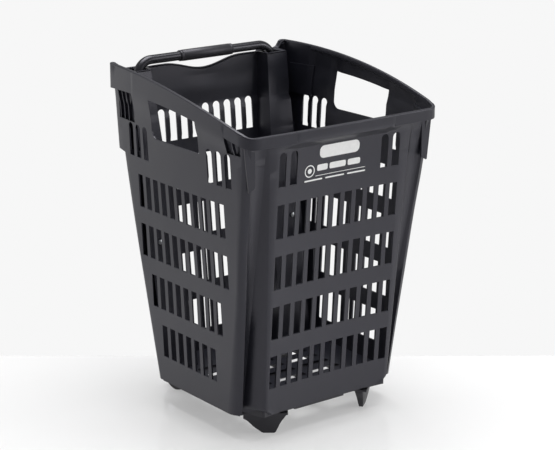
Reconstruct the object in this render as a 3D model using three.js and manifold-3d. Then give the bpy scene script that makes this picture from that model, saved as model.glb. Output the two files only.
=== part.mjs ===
// A rolling shop basket of about 52 litres: one tall tapered moulding with slotted walls that
// stands on two front feet and two rear wheels, with a pull-up bail handle behind it.
// Units are millimetres. +Z is up, the printed front faces -Y and the wheels and handle are at +Y.
// The origin is on the floor, under the middle of the outline.

import * as THREE from "three";
import { mergeVertices } from "three/addons/utils/BufferGeometryUtils.js";
import Module from "manifold-3d";

const wasm = await Module();
wasm.setup();

// ---- Driving dimensions ----

const wallThickness = 3;
const gap = 0.3; // left between pieces that touch

// Heights of the moulded basket
const edgeZ = 44; // bottom edge of the walls
const floorUnderZ = 50;
const floorTopZ = 53;
const bowStartZ = 250; // below this the side walls are flat
const bowEndZ = 530; // here the side walls are as bowed as the rim
const aboveRimZ = 620;

// Wall planes: distance from the middle at floor level, and how far they lean out per mm of height
const side = { foot: 168, lean: 0.0487 };
const front = { foot: 155.8, lean: 0.0721, hollow: 5 };
const rear = { foot: 147, lean: 0.09 };

// Rim
const rim = { frontY: 204.5, rearY: 208.5, frontBow: 1, frontCorner: 18, rearCorner: 9 };
const rimRearTop = 590; // top of the side rims at the rear
const rearWallTop = 577;
const rearDip = 12; // finger dip in the middle of the rear wall
const rearDipHalf = 82;
const rimShoulder = 164; // where the rear wall's top starts to rise to the side rims

// Slots
const slotPitch = 23.7;
const slotWidth = 14.7;
const slotHeight = 57.7;
const rowPitch = 87.2;
const topRowZ = 497.7; // top edge of the first row
const sideSlotMiddle = -2;

// Rear running gear
const wheelRadius = 35;
const wheelWidth = 24;
const wheelX = 107;
const axleY = 130;
const axleRadius = 4;
const runningGap = 0.35;

// Handle, in a frame whose Z runs along the legs and whose origin is at the rear wall's top
const legX = 145.6;
const legRadius = 8;
const tubeWall = 1.3;
const bailRise = 13; // bar above the rear wall's top
const bendRadius = 30;
const legFootZ = -304;
const guideInner = 10;
const guideOuter = 11.5;
const guideTopZ = -26.3;
const guideFootZ = -310.7;

const frontFoot = { x: 103.5, y: -130.4, turn: 0.65 };

// ---- Solids ----

// A closed mesh as a solid that can be joined and cut.
function solid(geometry) {
  const bare = geometry.clone();
  bare.deleteAttribute("normal");
  bare.deleteAttribute("uv");
  const merged = mergeVertices(bare, 1e-4);
  const index = merged.index.array;
  const mesh = new wasm.Mesh({
    numProp: 3,
    vertProperties: new Float32Array(merged.attributes.position.array),
    triVerts: new Uint32Array(index),
  });
  return new wasm.Manifold(mesh);
}

function geometryOf(made) {
  const mesh = made.getMesh();
  const geometry = new THREE.BufferGeometry();
  geometry.setAttribute("position", new THREE.BufferAttribute(mesh.vertProperties, 3));
  geometry.setIndex(new THREE.BufferAttribute(mesh.triVerts, 1));
  return geometry;
}

function box(low, high) {
  const size = high.map((v, i) => v - low[i]);
  const made = new THREE.BoxGeometry(...size);
  made.translate(...low.map((v, i) => v + size[i] / 2));
  return solid(made);
}

// A round bar along Z.
function bar(radius, z0, z1, x = 0, y = 0, sides = 16) {
  const made = new THREE.CylinderGeometry(radius, radius, z1 - z0, sides);
  made.rotateX(Math.PI / 2);
  made.translate(x, y, (z0 + z1) / 2);
  return solid(made);
}

// A round bar along X.
function crossBar(radius, x0, x1, y, z, sides = 16) {
  const made = new THREE.CylinderGeometry(radius, radius, x1 - x0, sides);
  made.rotateZ(Math.PI / 2);
  made.translate((x0 + x1) / 2, y, z);
  return solid(made);
}

// Points [along, up] extruded along X from x0 to x1: "along" is Y.
function prismX(points, x0, x1) {
  const shape = new THREE.Shape(points.map(([y, z]) => new THREE.Vector2(y, z)));
  const made = new THREE.ExtrudeGeometry(shape, { depth: x1 - x0, bevelEnabled: false, curveSegments: 6 });
  made.rotateX(Math.PI / 2);
  made.rotateZ(Math.PI / 2);
  made.translate(x0, 0, 0);
  return solid(made);
}

// Points [across, up] extruded along Y from y0 to y1: "across" is X.
function prismY(points, y0, y1) {
  const shape = new THREE.Shape(points.map(([x, z]) => new THREE.Vector2(x, z)));
  const made = new THREE.ExtrudeGeometry(shape, { depth: y1 - y0, bevelEnabled: false, curveSegments: 6 });
  made.rotateX(Math.PI / 2);
  made.translate(0, y1, 0);
  return solid(made);
}

// Plan points extruded along Z.
function prismZ(points, z0, z1) {
  const shape = new THREE.Shape(points.map(([x, y]) => new THREE.Vector2(x, y)));
  const made = new THREE.ExtrudeGeometry(shape, { depth: z1 - z0, bevelEnabled: false });
  made.translate(0, 0, z0);
  return solid(made);
}

// A closed solid through plan outlines of equal length, lowest first: [{ z, points }, ...].
function loft(rings) {
  const count = rings[0].points.length;
  const positions = rings.flatMap(({ z, points }) => points.flatMap(([x, y]) => [x, y, z]));
  const index = [];
  for (let level = 0; level + 1 < rings.length; level++) {
    for (let i = 0; i < count; i++) {
      const next = (i + 1) % count;
      const a = level * count + i;
      const b = level * count + next;
      index.push(a, b, b + count, a, b + count, a + count);
    }
  }
  const capOf = ({ points }) =>
    THREE.ShapeUtils.triangulateShape(points.map(([x, y]) => new THREE.Vector2(x, y)), []);
  const top = (rings.length - 1) * count;
  capOf(rings[0]).forEach(([a, b, c]) => index.push(a, c, b));
  capOf(rings.at(-1)).forEach(([a, b, c]) => index.push(top + a, top + b, top + c));
  const made = new THREE.BufferGeometry();
  made.setAttribute("position", new THREE.BufferAttribute(new Float32Array(positions), 3));
  made.setIndex(index);
  return solid(made);
}

// A closed profile of [radius, height] turned about Z.
function turned(profile, segments = 20) {
  const points = profile.map(([r, z]) => new THREE.Vector2(r, z));
  const made = new THREE.LatheGeometry([...points, points[0].clone()], segments);
  made.rotateX(Math.PI / 2);
  return made;
}

// ---- Plan outlines ----

// The outline moved inwards by a distance, each corner along its mitre.
function inset(points, distance) {
  const count = points.length;
  return points.map(([x, y], i) => {
    const [ax, ay] = points[(i + count - 1) % count];
    const [bx, by] = points[(i + 1) % count];
    const before = new THREE.Vector2(ay - y, x - ax).normalize();
    const after = new THREE.Vector2(y - by, bx - x).normalize();
    const mitre = before.clone().add(after);
    const reach = distance / Math.max(0.35, 0.5 * mitre.lengthSq());
    return [x + mitre.x * reach, y + mitre.y * reach];
  });
}

// The walls bend only along the solid bars between two columns of slots.
const barAt = (middle, n) => middle + (n + 0.5) * slotPitch;
const sideBends = [-4, -1, 2].map((n) => barAt(sideSlotMiddle, n));
const frontBends = [0, 2, 4].map((n) => barAt(0, n));

// How far the side wall stands out from its flat plane at depth y, where it is fully bowed.
function sideBow(y) {
  const bow = (at) => 6.8 - 4.8 * (at / 200) - 10.9 * (at / 200) ** 2;
  const knots = [-205, ...sideBends, 190];
  const next = Math.max(1, knots.findIndex((knot, i) => knot >= y || i === knots.length - 1));
  const [a, b] = [knots[next - 1], knots[next]];
  return THREE.MathUtils.mapLinear(y, a, b, bow(a), bow(b));
}

function sideX(y, z) {
  const crown = 0.04; // the lower wall is very nearly flat
  const bowed = THREE.MathUtils.clamp((z - bowStartZ) / (bowEndZ - bowStartZ), crown, 1);
  return side.foot + side.lean * z + bowed * sideBow(y);
}

const frontY = (z) => -(front.foot + front.lean * z);
const rearY = (z) => rear.foot + rear.lean * z;
const frontHalf = (z) => 129.7 + 0.033 * z; // flat part of the front wall
const rearHalf = (z) => 85.2 + 0.0644 * z; // flat part of the rear wall
const ridgeY = (z) => Math.max(-(129 + 0.124 * z), frontY(z) + 0.5); // front edge of each side wall
const sideFrontY = (z) => Math.max(-(100.7 + 0.19 * z), ridgeY(z) + 9); // the side wall's flat runs from here
const sideRearY = (z) => 83 + 0.183 * z; // to here
const frontRecess = (z) => Math.max(2, 45.4 - 0.085 * z);
const rearRecess = (z) => 64.5 - 0.0687 * z;

// Half of the basket's outline at a height, for +X, from the middle of the front to that of the rear.
function halfOutline(z) {
  const halfFront = frontHalf(z);
  const webY = frontY(z) + frontRecess(z);
  const cornerX = sideX(sideFrontY(z), z);
  const creaseX = cornerX - Math.max(13, 20.7 - 0.015 * z);
  const points = [];
  for (const x of frontBends) {
    points.push([x, frontY(z) + front.hollow * (1 - (x / 135) ** 2)]);
  }
  points.push([halfFront, frontY(z)]);
  points.push([halfFront + 5, frontY(z) + Math.min(5, 0.6 * frontRecess(z))]);
  points.push([halfFront + 6 + 0.25 * frontRecess(z), webY]);
  points.push([creaseX, webY]);
  points.push([cornerX - 12, ridgeY(z)]);
  points.push([cornerX - 3, (ridgeY(z) + 2 * sideFrontY(z)) / 3]);
  const from = sideFrontY(z);
  const to = sideRearY(z);
  for (const y of [from, ...sideBends, to]) {
    points.push([sideX(y, z), y]);
  }
  const rearX = sideX(to, z);
  const rearWebY = rearY(z) - rearRecess(z);
  points.push([rearX - 4, to + 7]);
  points.push([rearX - (11.4 + 0.019 * z), to + 7]);
  points.push([rearX - (12.1 + 0.02 * z), rearWebY]);
  points.push([rearHalf(z) + 4, rearWebY]);
  points.push([rearHalf(z), rearY(z)]);
  return points;
}

// The outline all round, anticlockwise seen from above.
function outline(z) {
  const right = halfOutline(z);
  const left = right.map(([x, y]) => [-x, y]).reverse();
  return [...right, ...left];
}

// The basket's outer shape, drawn in by a distance and closed at z0 and z1.
function shell(distance, z0, z1) {
  const levels = [z0, ...[bowStartZ, bowEndZ].filter((z) => z > z0 && z < z1), z1];
  return loft(levels.map((z) => ({ z, points: inset(outline(z), distance) })));
}

// Outer edge of the rim, seen from above, drawn in by a distance.
function rimOutline(distance) {
  const points = [];
  const halfAt = (y) => 205.7 - 4.8 * (y / 200) - 10.9 * (y / 200) ** 2;
  for (const t of [0, 0.35, 0.7]) {
    points.push([170 * t, -rim.frontY - rim.frontBow * (1 - t * t)]);
  }
  const frontX = halfAt(-rim.frontY) - rim.frontCorner;
  for (const turn of [-90, -50, -15]) {
    const a = THREE.MathUtils.degToRad(turn);
    const centreY = rim.frontCorner - rim.frontY;
    points.push([frontX + rim.frontCorner * Math.cos(a), centreY + rim.frontCorner * Math.sin(a)]);
  }
  const sideSteps = 4;
  const from = rim.frontCorner - rim.frontY;
  const to = rim.rearY - rim.rearCorner;
  for (let i = 0; i <= sideSteps; i++) {
    const y = from + ((to - from) * i) / sideSteps;
    points.push([halfAt(y), y]);
  }
  points.push([halfAt(to) - rim.rearCorner * 0.3, rim.rearY - rim.rearCorner * 0.3]);
  points.push([halfAt(to) - rim.rearCorner, rim.rearY]);
  const left = points.slice(1).reverse().map(([x, y]) => [-x, y]);
  return inset([...points, ...left], distance);
}

// ---- Heights along the rim ----

// 0 at the rear of the side rims and 1 near the front.
const alongRim = (y) => (201.9 - y) / 391.3;
const rimTop = (y) => rimRearTop + 4.4 * alongRim(y) - 58 * alongRim(y) ** 2;
const skirtBottom = (y) => rimTop(y) - 43 + 23 * alongRim(y);
const frontDip = 0.5;

const steps = (from, to, count) => Array.from({ length: count + 1 }, (_, i) => from + ((to - from) * i) / count);

// Everything above the rim, moved down by a distance.
function aboveRim(down) {
  const reach = 230;
  const over = 650;
  const sideCurve = steps(-reach, reach, 8).map((y) => [y, rimTop(y) - down]);
  const sides = prismX([[reach, over], [-reach, over], ...sideCurve], -reach, reach);
  const frontCurve = [-reach, -190, -110, 0, 110, 190, reach].map((x) => {
    const dip = frontDip * (1 - Math.min(1, (x / 190) ** 2));
    return [x, rimTop(-rim.frontY) - dip - down];
  });
  const frontTop = prismY([[reach, over], [-reach, over], ...frontCurve], -reach, -rim.frontY + 9);
  const dipAt = (x) => (Math.abs(x) < rearDipHalf ? rearDip * Math.cos((x / rearDipHalf) * (Math.PI / 2)) ** 2 : 0);
  // [beyond the shoulder, above the rear wall's top]
  const rise = [[0, 0], [6, 2], [9, 5.5], [11.5, 10], [15, 12.5], [20, 13.5]];
  const leftRise = rise.toReversed().map(([out, up]) => [-rimShoulder - out, rearWallTop + up - down]);
  const rightRise = rise.map(([out, up]) => [rimShoulder + out, rearWallTop + up - down]);
  const dipCurve = steps(-rearDipHalf, rearDipHalf, 8).map((x) => [x, rearWallTop - dipAt(x) - down]);
  const rearEnd = rimShoulder + 20;
  const rearCurve = [[-rearEnd, over], ...leftRise, ...dipCurve, ...rightRise, [rearEnd, over]];
  const rearTop = prismY(rearCurve, 140, reach);
  return sides.add(frontTop).add(rearTop);
}

function belowSkirt() {
  const reach = 230;
  const curve = steps(reach, -reach, 6).map((y) => [y, skirtBottom(y)]);
  return prismX([[-reach, 400], [reach, 400], ...curve], -reach, reach);
}

// ---- Openings in the walls ----

// A slot seen square on, with a square or a round top.
function slotShape(middle, topZ, roundTop) {
  const half = slotWidth / 2;
  const lowZ = topZ - slotHeight;
  const points = [[middle - half, lowZ], [middle + half, lowZ]];
  if (!roundTop) {
    points.push([middle + half, topZ], [middle - half, topZ]);
    return points;
  }
  for (const turn of steps(0, 180, 3)) {
    const a = THREE.MathUtils.degToRad(turn);
    points.push([middle + half * Math.cos(a), topZ - half + half * Math.sin(a)]);
  }
  return points;
}

// Middles of the slots in a row, centred on "middle".
const rowOf = (count, middle) => steps(-(count - 1) / 2, (count - 1) / 2, count - 1).map((n) => middle + n * slotPitch);

function cutSlots(body) {
  const tops = steps(0, 4, 4).map((row) => topRowZ - row * rowPitch);
  const perRow = { front: [11, 11, 11, 11, 11], side: [11, 11, 11, 9, 7], rear: [9, 9, 9, 7, 7] };
  let made = body;
  tops.forEach((topZ, row) => {
    const roundTop = row === 0;
    for (const x of rowOf(perRow.front[row], 0)) {
      const printed = row === 0 && Math.abs(x) < 3.5 * slotPitch; // the print sits between the outer slots
      if (!printed) made = made.subtract(prismY(slotShape(x, topZ, roundTop), -230, -120));
    }
    for (const x of rowOf(perRow.rear[row], 0)) {
      made = made.subtract(prismY(slotShape(x, topZ, roundTop), 120, 230));
    }
    const sideRow = row === 0 ? rowOf(13, sideSlotMiddle) : rowOf(perRow.side[row], sideSlotMiddle);
    for (const y of sideRow) {
      const underHandHole = row === 0 && Math.abs(y - sideSlotMiddle) < 3.5 * slotPitch;
      if (underHandHole) continue;
      made = made.subtract(prismX(slotShape(y, topZ, roundTop), -230, -120));
      made = made.subtract(prismX(slotShape(y, topZ, roundTop), 120, 230));
    }
  });
  return made;
}

// The hand hole in each side wall: its top follows the skirt, and its lower rear corner is rounded.
function handHole() {
  const low = 484;
  const rearEnd = 68;
  const frontEnd = -70;
  const points = [
    [frontEnd, skirtBottom(frontEnd)],
    [frontEnd, low + 3],
    [frontEnd + 3, low],
    [rearEnd - 14, low],
    [rearEnd - 4, low + 5],
    [rearEnd, low + 14],
    [rearEnd, skirtBottom(rearEnd)],
  ];
  return prismX(points, -230, -120).add(prismX(points, 120, 230));
}

// Floor grid: three columns of long drain slots.
function drainSlots() {
  let made = null;
  for (const x of steps(-75, 75, 2)) {
    for (const y of steps(-120, 66, 6)) {
      const slot = box([x - 32, y - 6, 40], [x + 32, y + 6, 60]);
      made = made ? made.add(slot) : slot;
    }
  }
  return made;
}

// ---- The handle's own frame ----

const handleLean = Math.atan(rear.lean);
const handleOrigin = [0, rearY(rearWallTop) - guideOuter / Math.cos(handleLean), rearWallTop];

const handlePlace = new THREE.Matrix4().makeRotationX(-handleLean).setPosition(...handleOrigin);

const moved = (made, matrix) => solid(geometryOf(made).applyMatrix4(matrix));

// A solid drawn in the handle's frame, as it stands in the basket's frame, and back.
const fromHandleFrame = (made) => moved(made, handlePlace);
const toHandleFrame = (made) => moved(made, handlePlace.clone().invert());

// ---- The moulded basket ----

function gusset() {
  const points = [[176, 440], [186, 441], [195, 520], [176, 520]];
  const y = -189.5;
  const plate = prismY(points, y, y + wallThickness);
  return plate.add(prismY(points.map(([x, z]) => [-x, z]).reverse(), y, y + wallThickness));
}

function screwHoles(spots, radius, z0, z1) {
  return spots.map(([x, y]) => bar(radius, z0, z1, x, y, 8)).reduce((all, one) => all.add(one));
}

const footScrewSpots = [-1, 1].map((s) => [s * frontFoot.x, frontFoot.y]);
const carrierX = 71;
const carrierScrewY = axleY - 13;
const carrierScrewSpots = [-1, 1].map((s) => [s * carrierX, carrierScrewY]);

function basketBody() {
  const outside = shell(0, edgeZ, aboveRimZ);
  const inside = shell(wallThickness, floorTopZ, aboveRimZ + 10);
  const underside = shell(wallThickness, edgeZ - 10, floorUnderZ);
  const rimBand = prismZ(rimOutline(0), 500, aboveRimZ).subtract(belowSkirt());
  const rimHollow = prismZ(rimOutline(wallThickness), 480, aboveRimZ)
    .subtract(outside)
    .subtract(aboveRim(wallThickness));
  let body = outside.add(rimBand).subtract(rimHollow).add(gusset());
  body = body.subtract(inside).subtract(underside).subtract(aboveRim(0));
  body = cutSlots(body).subtract(handHole()).subtract(drainSlots());
  for (const s of [-1, 1]) {
    const clear = guideOuter + 1.3;
    const round = bar(clear, guideTopZ, 40, s * legX, 0, 28);
    const bendX = s * (legX - 9); // the legs already lean inwards here
    const room = box([bendX - 9, -clear, -15], [bendX + 9, clear, 40]);
    body = body.subtract(fromHandleFrame(round.add(room)));
  }
  const screws = [...footScrewSpots, ...carrierScrewSpots];
  body = body.subtract(screwHoles(screws, 2 + gap, 30, 60));
  return body.subtract(guideScrewHoles());
}

// ---- Under the basket ----

function chassis() {
  const plate = prismZ(inset(outline(edgeZ), wallThickness + 1), 40.5, floorUnderZ - gap);
  const kept = plate.intersect(box([-200, -200, 0], [200, 96, 100]));
  const windows = [-75, 0, 75]
    .flatMap((x) => [-68, 28].map((y) => box([x - 27, y - 40, 30], [x + 27, y + 40, 60])))
    .reduce((all, one) => all.add(one));
  const lip = box([-62, -150, 37.5], [44, -146, 42]);
  return kept.add(lip).subtract(windows).subtract(screwHoles(footScrewSpots, 2 + gap, 30, 60));
}

const footTop = 40.2;

// A tapered foot set across the corner, drawn about its own middle with +X towards the front.
function footSolid() {
  const profile = [
    [-42, 23],
    [-33, 17],
    [-26, 10],
    [-15, 4],
    [-11, 1],
    [-8, 0],
    [9, 0],
    [13, 2],
    [19, 16],
    [28, 30],
    [31, footTop - 3],
    [31, footTop],
    [-42, footTop],
  ];
  const blade = prismY(profile, -7.5, 7.5);
  const flange = box([-44, -14, footTop - 4], [33, 14, footTop]);
  return blade.add(flange).subtract(bar(2 + gap, 21, 60, 0, 0, 8));
}

function axleCarrier() {
  const block = box([-13, -20, 25], [13, 14, floorUnderZ - gap]);
  const bore = crossBar(axleRadius + gap, -20, 20, 0, wheelRadius);
  const spot = [[0, carrierScrewY - axleY]];
  return block.subtract(bore).subtract(screwHoles(spot, 2 + gap, 20, 60)).subtract(screwHoles(spot, 5, 20, 30));
}

// ---- Handle guides ----

const socketZ = -300; // middle of the lower bracket, along the legs
const clipZ = -160; // middle of the upper bracket

// A bar along the handle frame's Y, in that frame.
function guideScrewBar(x, z, radius, y0, y1) {
  const made = new THREE.CylinderGeometry(radius, radius, y1 - y0, 8);
  made.translate(x, (y0 + y1) / 2, z);
  return solid(made);
}

// Where the guide brackets' screws go through the basket's wall.
function guideScrewHoles() {
  return [-1, 1]
    .flatMap((s) => [socketZ, clipZ].map((z) => fromHandleFrame(guideScrewBar(s * legX, z, 2 + gap, -90, 0))))
    .reduce((all, one) => all.add(one));
}

// A bracket between the basket's recessed corner and a guide tube, about the tube's own axis.
function guideBracket(s, z, height, floorThickness) {
  const low = z - height / 2;
  const high = z + height / 2;
  const toLeg = new THREE.Matrix4().makeTranslation(s * legX, 0, 0);
  const block = bar(guideOuter + 3, low, high).add(box([-11, -60, low], [11, 0, high]));
  const bored = block.subtract(bar(guideOuter + gap, low + floorThickness, high + 1, 0, 0, 20));
  const trimmed = moved(bored, toLeg).subtract(toHandleFrame(shell(-gap, 30, aboveRimZ)));
  return moved(trimmed, toLeg.invert()).subtract(guideScrewBar(0, z, 2 + gap, -100, 0));
}

// Depth of the recess's inside face from the leg's axis, at a height along the leg.
function webInside(z) {
  const [, originY, originZ] = handleOrigin;
  const y = originY + z * Math.sin(handleLean);
  const height = originZ + z * Math.cos(handleLean);
  return rearY(height) - rearRecess(height) - wallThickness - y;
}

// ---- Handle ----

// Legs, bends and bar of the bail as one round solid.
function bail(radius, footZ) {
  const bendZ = bailRise - bendRadius;
  const barX = legX - bendRadius;
  let made = crossBar(radius, -barX - 0.5, barX + 0.5, 0, bailRise);
  for (const s of [-1, 1]) {
    made = made.add(bar(radius, footZ, bendZ + 0.5, s * legX, 0));
    const path = new THREE.CurvePath();
    const arc = new THREE.QuadraticBezierCurve3();
    arc.getPoint = (t, target = new THREE.Vector3()) => {
      const a = (t * Math.PI) / 2;
      return target.set(s * (barX + bendRadius * Math.cos(a)), 0, bendZ + bendRadius * Math.sin(a));
    };
    path.add(arc);
    const ring = new THREE.Shape().absarc(0, 0, radius, 0, Math.PI * 2);
    const bend = new THREE.ExtrudeGeometry(ring, { steps: 5, extrudePath: arc, curveSegments: 8 });
    made = made.add(solid(bend));
  }
  return made;
}

const handleTube = () => bail(legRadius, legFootZ).subtract(bail(legRadius - tubeWall, legFootZ - 10));

function handleGrip() {
  const half = 56;
  const inner = legRadius + gap;
  const profile = [
    [inner, -half],
    [9.2, -half],
    [10, -half + 5],
    [10, half - 5],
    [9.2, half],
    [inner, half],
  ];
  return turned(profile, 20);
}

// Cup on the foot of each leg, which stops under the collar when the handle is fully up.
function legStop() {
  return turned([
    [0, legFootZ - 3.3],
    [guideInner - gap, legFootZ - 3.3],
    [guideInner - gap, legFootZ + 16],
    [legRadius + gap, legFootZ + 16],
    [legRadius + gap, legFootZ - gap],
    [0, legFootZ - gap],
  ]);
}

function guideTube() {
  return turned([
    [guideInner, guideFootZ],
    [guideOuter, guideFootZ],
    [guideOuter, guideTopZ],
    [guideInner, guideTopZ],
  ]);
}

// Bush at the head of each guide tube, in which the leg slides.
function guideCollar() {
  const flangeZ = guideTopZ + gap;
  return turned([
    [legRadius + runningGap, flangeZ - 26],
    [guideInner - gap, flangeZ - 26],
    [guideInner - gap, flangeZ],
    [guideOuter + 0.6, flangeZ],
    [guideOuter + 0.6, flangeZ + 4.5],
    [legRadius + runningGap, flangeZ + 4.5],
  ]);
}

// ---- Wheels ----

function wheelHub() {
  const half = wheelWidth / 2 - 1;
  return turned([
    [6.8, -half],
    [10, -half],
    [10, -3],
    [22, -3],
    [23, -half + 1],
    [26.5, -half + 1],
    [26.5, half - 1],
    [23, half - 1],
    [22, 3],
    [10, 3],
    [10, half],
    [6.8, half],
  ], 16);
}

function wheelTyre() {
  const half = wheelWidth / 2 - 1;
  return turned([
    [26.5 + gap, -half + 1],
    [32, -half],
    [wheelRadius, -half + 4],
    [wheelRadius, half - 4],
    [32, half],
    [26.5 + gap, half - 1],
  ], 32);
}

function wheelBush() {
  const half = wheelWidth / 2 - 0.5;
  return turned([
    [axleRadius + runningGap, -half],
    [6.8 - gap, -half],
    [6.8 - gap, half],
    [axleRadius + runningGap, half],
  ], 16);
}

function wheelSpacer() {
  return turned([
    [axleRadius + gap, 84.5],
    [8, 84.5],
    [8, wheelX - wheelWidth / 2 - gap],
    [axleRadius + gap, wheelX - wheelWidth / 2 - gap],
  ], 16);
}

function axleCap() {
  const start = wheelX + wheelWidth / 2 + gap;
  return turned([
    [axleRadius + gap, start],
    [9, start],
    [9, start + 3],
    [0, start + 7.5],
    [0, start + 5.6],
    [axleRadius + gap, start + 5.6],
  ], 16);
}

// ---- Screws ----

// Pan head at z = 0, with its shank along +Z.
function screw(length) {
  return turned([
    [0, -3],
    [4.3, -1.4],
    [4.3, 0],
    [2, 0],
    [2, length],
    [0, length],
  ], 8);
}

// ---- Materials ----

const material = (color, roughness, metalness = 0) => new THREE.MeshStandardMaterial({ color, roughness, metalness });
const moulded = () => material(0x2b2c30, 0.5);
const darkMoulded = () => material(0x1c1d20, 0.45);
const paintedTube = () => material(0x1e2024, 0.35, 0.2);
const rubber = () => material(0x151515, 0.85);
const zinc = () => material(0xb4b6b8, 0.35, 1);

// ---- Assembly ----

const basket = new THREE.Group();

function place(parent, name, geometry, look) {
  const mesh = new THREE.Mesh(geometry, look);
  mesh.name = name;
  parent.add(mesh);
  return mesh;
}

place(basket, "basket_body", geometryOf(basketBody()), moulded());
place(basket, "chassis", geometryOf(chassis()), darkMoulded());

const axle = new THREE.CylinderGeometry(axleRadius, axleRadius, 2 * (wheelX + wheelWidth / 2 + 5), 16);
axle.rotateZ(Math.PI / 2);
place(basket, "rear_axle", axle, zinc()).position.set(0, axleY, wheelRadius);

const handleFrame = new THREE.Group();
handleFrame.position.set(...handleOrigin);
handleFrame.rotation.x = -handleLean;
basket.add(handleFrame);

place(handleFrame, "handle_tube", geometryOf(handleTube()), paintedTube());
const grip = place(handleFrame, "handle_grip", handleGrip(), darkMoulded());
grip.rotation.y = Math.PI / 2;
grip.position.z = bailRise;

for (const [sideName, s] of [["left", -1], ["right", 1]]) {
  const foot = place(basket, "front_foot_" + sideName, geometryOf(footSolid()), darkMoulded());
  foot.position.set(s * frontFoot.x, frontFoot.y, 0);
  foot.rotation.z = s < 0 ? -frontFoot.turn : Math.PI + frontFoot.turn;

  const footScrew = place(basket, "foot_screw_" + sideName, screw(30), zinc());
  footScrew.position.set(s * frontFoot.x, frontFoot.y, floorTopZ + gap);
  footScrew.rotation.x = Math.PI;

  const carrier = place(basket, "axle_carrier_" + sideName, geometryOf(axleCarrier()), darkMoulded());
  carrier.position.set(s * carrierX, axleY, 0);
  const carrierScrew = place(basket, "carrier_screw_" + sideName, screw(22), zinc());
  carrierScrew.position.set(s * carrierX, carrierScrewY, 30 - gap);

  // Turned about the axle: each piece's own Z points outwards along X.
  const wheelLine = new THREE.Group();
  wheelLine.position.set(0, axleY, wheelRadius);
  wheelLine.rotation.y = (s * Math.PI) / 2;
  basket.add(wheelLine);
  place(wheelLine, "wheel_hub_" + sideName, wheelHub(), moulded()).position.z = wheelX;
  place(wheelLine, "wheel_tyre_" + sideName, wheelTyre(), rubber()).position.z = wheelX;
  place(wheelLine, "wheel_bush_" + sideName, wheelBush(), material(0xd8d6cc, 0.4)).position.z = wheelX;
  place(wheelLine, "wheel_spacer_" + sideName, wheelSpacer(), darkMoulded());
  place(wheelLine, "axle_cap_" + sideName, axleCap(), zinc());

  const leg = new THREE.Group();
  leg.position.x = s * legX;
  handleFrame.add(leg);
  place(leg, "guide_tube_" + sideName, guideTube(), material(0x5a5c60, 0.35, 0.9));
  place(leg, "guide_collar_" + sideName, guideCollar(), darkMoulded());
  place(leg, "leg_stop_" + sideName, legStop(), darkMoulded());
  const brackets = [
    { kind: "socket", z: socketZ, height: 28, floorThickness: 3 },
    { kind: "clip", z: clipZ, height: 20, floorThickness: -1 },
  ];
  for (const { kind, z, height, floorThickness } of brackets) {
    const bracket = guideBracket(s, z, height, floorThickness);
    place(leg, "guide_" + kind + "_" + sideName, geometryOf(bracket), darkMoulded());
    const bolt = place(leg, kind + "_screw_" + sideName, screw(16), zinc());
    bolt.position.set(0, webInside(z) - 0.7, z);
    bolt.rotation.x = -Math.PI / 2;
  }
}

export default basket;
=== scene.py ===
import math

import bmesh
import bpy
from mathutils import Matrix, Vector
from mathutils.geometry import tessellate_polygon


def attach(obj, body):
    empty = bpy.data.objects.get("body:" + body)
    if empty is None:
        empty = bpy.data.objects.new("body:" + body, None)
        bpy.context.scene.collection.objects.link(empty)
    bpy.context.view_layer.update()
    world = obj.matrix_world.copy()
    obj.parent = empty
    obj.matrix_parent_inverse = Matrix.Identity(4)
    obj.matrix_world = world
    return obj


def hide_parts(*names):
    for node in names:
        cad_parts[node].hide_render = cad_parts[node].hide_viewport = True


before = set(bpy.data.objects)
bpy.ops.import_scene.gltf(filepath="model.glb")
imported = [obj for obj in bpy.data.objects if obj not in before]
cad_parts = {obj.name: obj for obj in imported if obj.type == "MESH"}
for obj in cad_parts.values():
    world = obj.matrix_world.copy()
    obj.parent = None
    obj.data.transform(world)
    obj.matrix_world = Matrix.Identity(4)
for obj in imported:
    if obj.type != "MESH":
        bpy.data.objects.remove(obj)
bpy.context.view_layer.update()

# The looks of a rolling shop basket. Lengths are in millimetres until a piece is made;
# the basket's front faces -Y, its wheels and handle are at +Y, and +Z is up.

MM = 0.001

# ---- Driving sizes ----

WALL = 3.0
EDGE_Z = 44.0  # bottom edge of the walls
# Distance of each wall from the middle at the ground, and its lean outwards
FRONT_FOOT, FRONT_LEAN = 155.8, 0.0721
REAR_FOOT, REAR_LEAN = 147, 0.09
SIDE_FOOT, SIDE_LEAN = 168, 0.0487
FLOOR_TOP_Z = 53.0
SLOT_HALF = 7.35
SLOT_PITCH = 23.7
SLOT_HEIGHT = 57.7
ROW_PITCH = 87.2
TOP_ROW_Z = 497.7
SIDE_MIDDLE = -2.0  # y of the side walls' middle slot
STEP_Z = 443.0  # above this the side walls reach further back
FRONT_POCKET_YS, REAR_POCKET_YS = (-178.5, -146.0), (125.0, 179.0)
HAND_HOLE = {"front": -70.0, "rear": 68.0, "low": 484.0, "corner": 14.0}
POCKET_LOW_Z = 499.5
RIM_FRONT_Y, RIM_REAR_Y = -204.5, 208.5
RIM_FRONT_RADIUS, RIM_REAR_RADIUS = 18.0, 9.0
REAR_TOP_Z = 577.0
LEAN = math.atan(REAR_LEAN)  # the handle leans with the rear wall
LEG_X = 145.6
LEG_RADIUS = 8.0
BAIL_RISE = 12.0
BEND_RADIUS = 30.0
LEG_FOOT = -304.0
HANDLE_ORIGIN = (0.0, 187.4, 577.0)
WHEEL_X, AXLE_Y, WHEEL_RADIUS, WHEEL_HALF = 107.0, 130.0, 35.0, 11.0
SIDES = (("left", -1), ("right", 1))


def clamp(value, low=0.0, high=1.0):
    return max(low, min(high, value))


def smooth(value):
    value = clamp(value)
    return value * value * (3 - 2 * value)


def mix(a, b, t):
    return a + (b - a) * t


def mix_point(a, b, t):
    return tuple(mix(p, q, t) for p, q in zip(a, b))


# ---- Materials ----


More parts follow.
